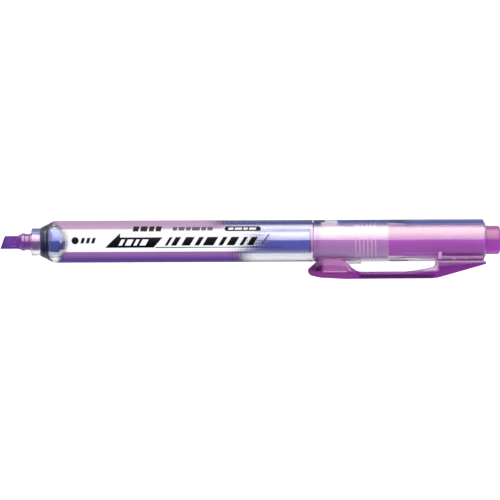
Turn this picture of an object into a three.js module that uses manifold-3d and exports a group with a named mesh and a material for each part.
import * as THREE from 'three';
import { mergeVertices } from 'three/addons/utils/BufferGeometryUtils.js';
import Module from 'manifold-3d';

// A retractable, refillable highlighter with its nib out. It lies along X with the nib towards -X
// and the clip towards -Y. Millimetres. A station is a distance from the nib's tip along the pen's
// axis, and a radius is a distance from that axis.

const wasm = await Module();
wasm.setup();

// Driving dimensions
const LENGTH = 141; // nib tip to knock button
const FRONT_RADIUS = 5.9; // front barrel
const REAR_RADIUS = 5.95; // rear barrel
const CLIP_REACH = 10.85; // axis to the clip's outer face
const RUNNING_FIT = 0.09; // between a piece and the bore that it slides in
const SEAT_GAP = 0.2; // between two pieces that are pressed together
const OUTER_SIDES = 32;
const INNER_SIDES = 24;

// Refill
const NIB = { width: 3.67, thickness: 3.0, heel: 5.1, slant: 1.3, edge: 0.9, stem: 1.4, stemEnd: 50.4 };
const HOLDER = { front: 5.2, radius: 2.5, bore: 1.6, shaft: 2.3, shaftFront: 13.2, rear: 43.8 };
const SPIGOT = { radius: 2.95, rear: 50 };
const REFILL = { front: 44, radius: 3.6, bore: 3.1, rear: 87.3, collar: 4.4, collarEnd: 45.5 };
const CORE = { front: 50.7, radius: 2.9, rear: 83.4 };
const PLUG = { front: 83.7, rear: 111, tail: 3.3 };

// Nose and shutter
const NOSE = { front: 8.92, radius: 3.86, bore: 2.65, step: 11.4, stepRadius: 4.24, chamber: 3.75 };
const SEAM = { station: 13.1, radius: 4.85, spigot: 4.4, spigotEnd: 14.3, spigotBore: 4.08 };
const SEAL = { front: 11.7, rear: 12.9, outer: 3.55, inner: 2.9, lip: 2.72 };
const SEAT = { front: 13.35, rear: 14.2, outer: 3.9, inner: 3.1, lip: 2.75 };
const PIVOT = 17.4; // station of the shutter's pivot, on the axis
const LID = { outer: 4.1, inner: 3.75, halfAngle: 42.5, armFront: 2.6, armRear: 1.15 };
const HOUSING = { front: 14.6, radius: 4.56, bore: 4.2, wall: 22.5, rear: 26.4 };
const PIN = { radius: 0.42, hole: 0.52, inner: 2.8, outer: 4.5 };
const LID_SPRING = { foot: 2.85, pitch: 0.27, turns: 2.6, radius: 0.68, wire: 0.1 };

// Barrels and their screw joint
const BARREL_BORE = 4.66;
const CONE = [[13.3, 4.92], [13.8, 5.24], [14.4, 5.58], [15.2, FRONT_RADIUS]]; // the barrel's front
const SHOULDER = 88.2; // where the front barrel steps down to its tenon
const TENON = { radius: 5.05, rear: 109.4 };
const THREAD = { front: 99.9, pitch: 1.11, turns: 5.85, radius: 0.2 };
const REAR = { front: 88.4, rear: 137.1, socket: 5.34, socketEnd: 110.2, bore: 4.64, lip: 4.2 };
const PAD = { front: 98.2, rear: 101.9, reach: 6.52, foot: 5.6, half: 1.2 }; // under the clip
const O_RING = { front: 89.1, rear: 90.0, inner: 5.15, outer: 5.48, pocket: 5.58 };

// Knock mechanism
const SLEEVE = { front: 88, rear: 136.5, radius: 4.54, bore: 4.14, ribBore: 3.75 };
const RIB = { count: 4, front: 112, rear: 117.2, half: 0.45 };
const BUTTON = { front: 119, radius: SLEEVE.bore - RUNNING_FIT, bore: 3.1, corner: 0.7, end: 1.6 };
const PLUNGER = { front: 114.2, radius: 3.65, shoulder: 118.8, stem: 3.0, rear: 128, bore: 2.2 };
const ROTOR = { front: 111.3, radius: 3.6, rear: 113.9, boss: 2.6 };
const TEETH = { count: 8, depth: 0.8 };

// Return spring
const SPRING = { front: 27.5, rear: 43.6, radius: 3.3, wire: 0.22, turns: 9 };
const WASHER = { front: 26.6, rear: 27.1, radius: 4.5, bore: 2.75 };

// Clip
const CLIP = { headHalf: 3.7, pocketHalf: 3.1, stripHalf: 2.3, rootHalf: 3.0, saddle: 6.15 };
const RAIL = { front: 123.6, rear: 136.5, half: 1.0, inner: 4.8 };

const look = (color, roughness, extra = {}) =>
  new THREE.MeshStandardMaterial({ color, roughness, metalness: 0, ...extra });
const clearPlastic = () => look(0xe4e6f2, 0.12, { transparent: true, opacity: 0.35 });
const violetPlastic = () => look(0x8a3f98, 0.25);
const steel = () => look(0xb9bcc2, 0.3, { metalness: 1 });

// Solids

function toSolid(geometry) {
  const bare = geometry.clone();
  bare.deleteAttribute('normal');
  bare.deleteAttribute('uv');
  const merged = mergeVertices(bare, 1e-5);
  const corners = merged.index.array;
  const kept = [];
  for (let i = 0; i < corners.length; i += 3) {
    const [a, b, c] = [corners[i], corners[i + 1], corners[i + 2]];
    if (a !== b && b !== c && c !== a) kept.push(a, b, c);
  }
  const vertProperties = new Float32Array(merged.attributes.position.array);
  const triVerts = Uint32Array.from(kept);
  return new wasm.Manifold(new wasm.Mesh({ numProp: 3, vertProperties, triVerts }));
}

function toGeometry(solid) {
  const { vertProperties, triVerts } = solid.getMesh();
  const geometry = new THREE.BufferGeometry();
  geometry.setAttribute('position', new THREE.BufferAttribute(vertProperties, 3));
  geometry.setIndex(new THREE.BufferAttribute(triVerts, 1));
  geometry.computeVertexNormals();
  return geometry;
}

const combine = (step) => (first, ...rest) =>
  toGeometry(rest.reduce((whole, next) => whole[step](toSolid(next)), toSolid(first)));
const join = combine('add');
const cut = combine('subtract');
const common = combine('intersect');

// Turns a profile of [station, radius] points about the pen's axis. The outer wall runs rearwards.
function turned(profile, sides = INNER_SIDES) {
  const points = profile.map(([station, radius]) => new THREE.Vector2(radius, station));
  return new THREE.LatheGeometry(points, sides).rotateZ(-Math.PI / 2);
}

// A turned piece with a hole right through: its outer wall rearwards, then its bore forwards.
const turnedRing = (profile, sides) => turned([...profile, profile[0]], sides);

function tube(front, rear, outer, inner, sides) {
  return turnedRing([[front, outer], [rear, outer], [rear, inner], [front, inner]], sides);
}

function rod(front, rear, radius, sides) {
  return turned([[front, 0], [front, radius], [rear, radius], [rear, 0]], sides);
}

function block([x0, x1], [y0, y1], [z0, z1]) {
  const box = new THREE.BoxGeometry(x1 - x0, y1 - y0, z1 - z0);
  return box.translate((x0 + x1) / 2, (y0 + y1) / 2, (z0 + z1) / 2);
}

// A side outline of [station, y] points, as wide as the two halves in Z.
function sideCut(outline, half) {
  const shape = new THREE.Shape(outline.map(([x, y]) => new THREE.Vector2(x, y)));
  const geometry = new THREE.ExtrudeGeometry(shape, { depth: 2 * half, bevelEnabled: false });
  return geometry.translate(0, 0, -half);
}

// A plan outline given by its half widths at stations, standing from y0 to y1.
function planCut(halves, y0, y1) {
  const side = halves.map(([x, half]) => new THREE.Vector2(x, half));
  const other = halves.map(([x, half]) => new THREE.Vector2(x, -half)).reverse();
  const shape = new THREE.Shape([...side, ...other]);
  const geometry = new THREE.ExtrudeGeometry(shape, { depth: y1 - y0, bevelEnabled: false });
  return geometry.rotateX(Math.PI / 2).translate(0, y1, 0);
}

class Helix extends THREE.Curve {
  constructor(front, pitch, turns, radius) {
    super();
    Object.assign(this, { front, pitch, turns, radius });
  }

  getPoint(t, target = new THREE.Vector3()) {
    const angle = 2 * Math.PI * this.turns * t;
    const station = this.front + this.pitch * this.turns * t;
    return target.set(station, this.radius * Math.cos(angle), this.radius * Math.sin(angle));
  }
}

function coil(helix, wire, stepsPerTurn, sides) {
  const section = new THREE.Shape();
  for (let i = 0; i < sides; i += 1) {
    const angle = (2 * Math.PI * i) / sides;
    const point = [wire * Math.cos(angle), wire * Math.sin(angle)];
    if (i === 0) section.moveTo(...point);
    else section.lineTo(...point);
  }
  const steps = Math.round(helix.turns * stepsPerTurn);
  return new THREE.ExtrudeGeometry(section, { steps, extrudePath: helix, bevelEnabled: false });
}

// A crown of pointed teeth on a ring, standing forwards from its face.
function crown(face, outer, inner, depth) {
  const teeth = [];
  const reach = (outer + inner) / 2;
  const thickness = outer - inner;
  const halfWidth = (Math.PI * reach) / TEETH.count * 0.7;
  for (let i = 0; i < TEETH.count; i += 1) {
    const outline = [[face + 0.3, -halfWidth], [face, -halfWidth], [face - depth, 0]];
    const tooth = sideCut([...outline, [face, halfWidth], [face + 0.3, halfWidth]], thickness * 0.4);
    tooth.translate(0, 0, reach).rotateX((2 * Math.PI * i) / TEETH.count);
    teeth.push(tooth);
  }
  return teeth;
}

// Refill: nib, holder, ink tube, fibre core and plug with its tail

function nib() {
  const { width, thickness, heel, slant, edge, stem, stemEnd } = NIB;
  const top = 1.72;
  const bottom = top - width;
  const side = [[0, bottom + 0.25], [slant, top], [heel, top], [heel, bottom], [0.15, bottom]];
  const plan = [[0, edge / 2], [3.4, thickness / 2], [heel, thickness / 2]];
  const head = common(sideCut(side.reverse(), thickness), planCut(plan, bottom - 1, top + 1));
  return join(head, rod(heel - 0.2, stemEnd, stem, 16));
}

function nibHolder() {
  const { front, radius, bore, shaft, shaftFront, rear } = HOLDER;
  const nose = [[front, 1.95], [front + 0.7, 2.2], [front + 1.1, radius], [front + 1.7, radius]];
  const waist = [[front + 1.9, shaft], [front + 3.0, shaft], [front + 3.4, radius]];
  const long = [[shaftFront - 0.3, radius], [shaftFront, shaft], [rear, shaft]];
  const back = [[rear, SPIGOT.radius], [SPIGOT.rear, SPIGOT.radius], [SPIGOT.rear, bore], [front, bore]];
  return turnedRing([...nose, ...waist, ...long, ...back]);
}

function refillTube() {
  const { front, radius, bore, rear, collar, collarEnd } = REFILL;
  const flange = [[front, collar], [collarEnd, collar], [collarEnd + 0.8, radius]];
  const end = [[rear - 0.35, radius], [rear, radius - 0.35], [rear, bore]];
  return turnedRing([...flange, ...end, [front, bore]]);
}

const inkCore = () => rod(CORE.front, CORE.rear, CORE.radius, 16);

// The plug closes the ink tube, and its tail reaches back to the knock mechanism.
function refillPlug() {
  const { front, rear, tail } = PLUG;
  const seat = REFILL.rear + SEAT_GAP;
  const spigot = [[front, 0], [front, CORE.radius], [seat, CORE.radius]];
  return turned([...spigot, [seat, tail], [rear - 0.4, tail], [rear, tail - 0.4], [rear, 0]]);
}

// Nose, seals and shutter

function noseCone() {
  const { front, radius, bore, step, stepRadius, chamber } = NOSE;
  const { station, spigot, spigotEnd, spigotBore } = SEAM;
  const snout = [[front, radius - 0.3], [front + 0.3, radius], [step, radius], [step + 0.3, stepRadius]];
  const back = [[station, SEAM.radius], [station, spigot], [spigotEnd, spigot], [spigotEnd, spigotBore]];
  const room = [[station + 0.1, spigotBore], [station + 0.1, chamber], [step + 0.1, chamber]];
  return turnedRing([...snout, ...back, ...room, [step + 0.1, bore], [front, bore]], OUTER_SIDES);
}

const noseSeal = () => turnedRing([
  [SEAL.front, SEAL.inner], [SEAL.front, SEAL.outer], [SEAL.rear, SEAL.outer], [SEAL.rear, SEAL.inner],
  [(SEAL.front + SEAL.rear) / 2, SEAL.lip],
]);

const lidSeat = () => turnedRing([
  [SEAT.front, SEAT.outer], [SEAT.rear, SEAT.outer], [SEAT.rear, SEAT.inner], [SEAT.front, SEAT.lip],
]);

function pinHole(radius) {
  const hole = new THREE.CylinderGeometry(radius, radius, 12, 12);
  return hole.rotateX(Math.PI / 2).translate(PIVOT, 0, 0);
}

function shutterHousing() {
  const { front, radius, bore, wall, rear } = HOUSING;
  const guide = NOSE.bore + 0.07;
  const outside = [[front, radius], [rear, radius], [rear, guide]];
  const inside = [[wall, guide], [wall, bore], [front, bore]];
  return cut(turnedRing([...outside, ...inside]), pinHole(PIN.hole));
}

// The lid is a slice of a hollow ball on two arms. Turned aside, it clears the nib holder.
function shutterLid() {
  const { outer, inner, halfAngle, armFront, armRear } = LID;
  const ball = (radius) => new THREE.SphereGeometry(radius, 24, 16).translate(PIVOT, 0, 0);
  const shell = cut(ball(outer), ball(inner));
  const capRadius = outer * Math.sin((halfAngle * Math.PI) / 180);
  const cap = new THREE.CylinderGeometry(capRadius, capRadius, 3, 20).translate(PIVOT, 3.6, 0);
  const arms = block([PIVOT - armFront, PIVOT + armRear], [-armFront, 3.4], [-5, 5]);
  return cut(common(shell, join(cap, arms)), pinHole(PIN.hole));
}

function shutterPin(side) {
  const { radius, inner, outer } = PIN;
  const pin = new THREE.CylinderGeometry(radius, radius, outer - inner, 12).rotateX(Math.PI / 2);
  return pin.translate(PIVOT, 0, (side * (inner + outer)) / 2);
}

function lidSpring() {
  const { foot, pitch, turns, radius, wire } = LID_SPRING;
  const wound = coil(new Helix(foot, pitch, turns, radius), wire, 12, 5);
  return wound.rotateY(-Math.PI / 2).translate(PIVOT, 0, 0);
}

// Barrels

function frontBarrel() {
  const [[mouth]] = CONE;
  const tenon = [[SHOULDER, FRONT_RADIUS], [SHOULDER, TENON.radius], [TENON.rear, TENON.radius]];
  const grip = SEAM.spigot + 0.1;
  const room = [[SEAM.spigotEnd + 0.2, BARREL_BORE], [SEAM.spigotEnd + 0.2, grip], [mouth, grip]];
  const body = turnedRing([...CONE, ...tenon, [TENON.rear, BARREL_BORE], ...room], OUTER_SIDES);
  const helix = new Helix(THREAD.front, THREAD.pitch, THREAD.turns, TENON.radius - 0.03);
  return join(body, coil(helix, THREAD.radius, 16, 6));
}

const jointRing = () => turnedRing([
  [O_RING.front, O_RING.outer - 0.1], [O_RING.front + 0.2, O_RING.outer],
  [O_RING.rear - 0.2, O_RING.outer], [O_RING.rear, O_RING.outer - 0.1],
  [O_RING.rear, O_RING.inner], [O_RING.front, O_RING.inner],
]);

function rearBarrel() {
  const { front, rear, socket, socketEnd, bore, lip } = REAR;
  const outside = [[front, REAR_RADIUS - 0.2], [front + 0.2, REAR_RADIUS], [rear - 0.5, REAR_RADIUS]];
  const end = [[rear - 0.15, REAR_RADIUS - 0.15], [rear, REAR_RADIUS - 0.5], [rear, lip]];
  const seat = [[rear - 0.35, lip], [rear - 0.35, bore], [socketEnd, bore], [socketEnd, socket]];
  const mouth = [[90.7, socket], [90.4, O_RING.pocket], [front, O_RING.pocket]];
  const body = turnedRing([...outside, ...end, ...seat, ...mouth], OUTER_SIDES);
  const pad = block([PAD.front, PAD.rear], [-PAD.reach, -PAD.foot], [-PAD.half, PAD.half]);
  const slot = block([RAIL.front - 0.3, RAIL.rear + 0.25], [-7, -4], [-RAIL.half - 0.2, RAIL.half + 0.2]);
  return cut(join(body, pad), slot);
}

// Knock mechanism

function camSleeve() {
  const { front, rear, radius, bore, ribBore } = SLEEVE;
  let sleeve = tube(front, rear, radius, bore, INNER_SIDES);
  for (let i = 0; i < RIB.count; i += 1) {
    const rib = block([RIB.front, RIB.rear], [-RIB.half, RIB.half], [ribBore, bore + 0.1]);
    sleeve = join(sleeve, rib.rotateX(((i + 0.5) * 2 * Math.PI) / RIB.count));
  }
  return sleeve;
}

function camRotor() {
  const { front, radius, rear, boss } = ROTOR;
  const face = rear - TEETH.depth;
  const body = turned([
    [front, 0], [front, boss], [front + 0.6, radius], [face, radius], [face, 0],
  ]);
  const mirrored = crown(0, radius, boss, TEETH.depth).map((tooth) =>
    tooth.rotateZ(Math.PI).translate(face, 0, 0));
  return join(body, ...mirrored);
}

function camPlunger() {
  const { front, radius, shoulder, stem, rear, bore } = PLUNGER;
  const face = front + TEETH.depth;
  const ring = [[face, radius], [shoulder, radius], [shoulder, stem], [rear, stem]];
  const body = turnedRing([...ring, [rear, bore], [face, bore]]);
  return join(body, ...crown(face, radius, ROTOR.boss, TEETH.depth));
}

function knockButton() {
  const { front, radius, bore, corner, end } = BUTTON;
  const rounded = [];
  for (let i = 0; i <= 3; i += 1) {
    const angle = (i / 3) * (Math.PI / 2);
    const centre = [LENGTH - corner, radius - corner];
    rounded.push([centre[0] + corner * Math.sin(angle), centre[1] + corner * Math.cos(angle)]);
  }
  const inside = [[LENGTH - end, 0], [LENGTH - end, bore], [front, bore]];
  return turned([[front, bore], [front, radius], ...rounded, [LENGTH, 0], ...inside], INNER_SIDES);
}

// Return spring

function returnSpring() {
  const { front, rear, radius, wire, turns } = SPRING;
  const pitch = (rear - front - 2 * wire) / turns;
  return coil(new Helix(front + wire, pitch, turns, radius), wire, 12, 5);
}

const springWasher = () => tube(WASHER.front, WASHER.rear, WASHER.radius, WASHER.bore, INNER_SIDES);

// Clip: a hollow head that straddles the barrel, a strip, and a root with a rail in the barrel's slot

function clip() {
  const { headHalf, pocketHalf, stripHalf, rootHalf, saddle } = CLIP;
  const tip = [[90.2, -5.2], [86.85, -8.0], [86.9, -8.95], [87.5, -9.8], [90.3, -10.46]];
  const outer = [[97.4, -CLIP_REACH], [121.4, -10.8], [123.3, -10.65], [136.9, -6.8], [136.9, -5.9]];
  const web = [[122.95, -5.9], [122.95, -7.3], [122.2, -7.55], [120, -8.05], [117.2, -8.5]];
  const inner = [[114.5, -8.8], [101.8, -8.8], [100.5, -8.47], [99.2, -7.6], [98.2, -6.63]];
  const side = sideCut([...tip, ...outer, ...web, ...inner, [96.4, -5.25]], headHalf);
  const head = [[86.7, 1.5], [88.6, 3.1], [90.6, headHalf], [97, headHalf], [101.4, stripHalf]];
  const tail = [[118, stripHalf], [122.5, rootHalf], [137, rootHalf]];
  const body = common(side, planCut([...head, ...tail], -12, 0));
  const pocket = block([90.8, 99.6], [-9.3, 0], [-pocketHalf, pocketHalf]);
  const trimmed = cut(body, pocket, rod(80, 140, saddle, 48));
  const rail = block([RAIL.front, RAIL.rear], [-6.5, -RAIL.inner], [-RAIL.half, RAIL.half]);
  return join(trimmed, rail);
}

// The pen, axis at the origin, nib tip at station 0

const pen = new THREE.Group();

function add(name, geometry, material) {
  const mesh = new THREE.Mesh(geometry, material);
  mesh.name = name;
  pen.add(mesh);
}

add('nib', nib(), look(0x61378f, 0.7));
add('nib_holder', nibHolder(), look(0x7a4aa8, 0.3));
add('refill_tube', refillTube(), look(0xc9c4e6, 0.25, { transparent: true, opacity: 0.6 }));
add('ink_core', inkCore(), look(0x5a3cb0, 0.9));
add('refill_plug', refillPlug(), look(0xe6e6ea, 0.45));
add('nose_cone', noseCone(), clearPlastic());
add('nose_seal', noseSeal(), look(0x14162a, 0.6));
add('lid_seat', lidSeat(), look(0x1c2140, 0.6));
add('shutter_housing', shutterHousing(), look(0x9fb4e0, 0.3, { transparent: true, opacity: 0.5 }));
add('shutter_lid', shutterLid(), look(0x3f62b8, 0.35));
add('shutter_pin_upper', shutterPin(1), steel());
add('shutter_pin_lower', shutterPin(-1), steel());
add('lid_spring', lidSpring(), steel());
add('front_barrel', frontBarrel(), clearPlastic());
add('joint_o_ring', jointRing(), look(0xd8d4e4, 0.5));
add('rear_barrel', rearBarrel(), clearPlastic());
add('cam_sleeve', camSleeve(), violetPlastic());
add('cam_rotor', camRotor(), look(0xe8e8ec, 0.4));
add('cam_plunger', camPlunger(), look(0xe8e8ec, 0.4));
add('knock_button', knockButton(), violetPlastic());
add('return_spring', returnSpring(), steel());
add('spring_washer', springWasher(), look(0xe8e8ec, 0.4));
add('clip', clip(), look(0x8f3a96, 0.2, { transparent: true, opacity: 0.8 }));

// The origin is the middle of the pen's underside.
pen.position.set(-LENGTH / 2, (CLIP_REACH - REAR_RADIUS) / 2, REAR_RADIUS);

const highlighter = new THREE.Group();
highlighter.add(pen);

export default highlighter;
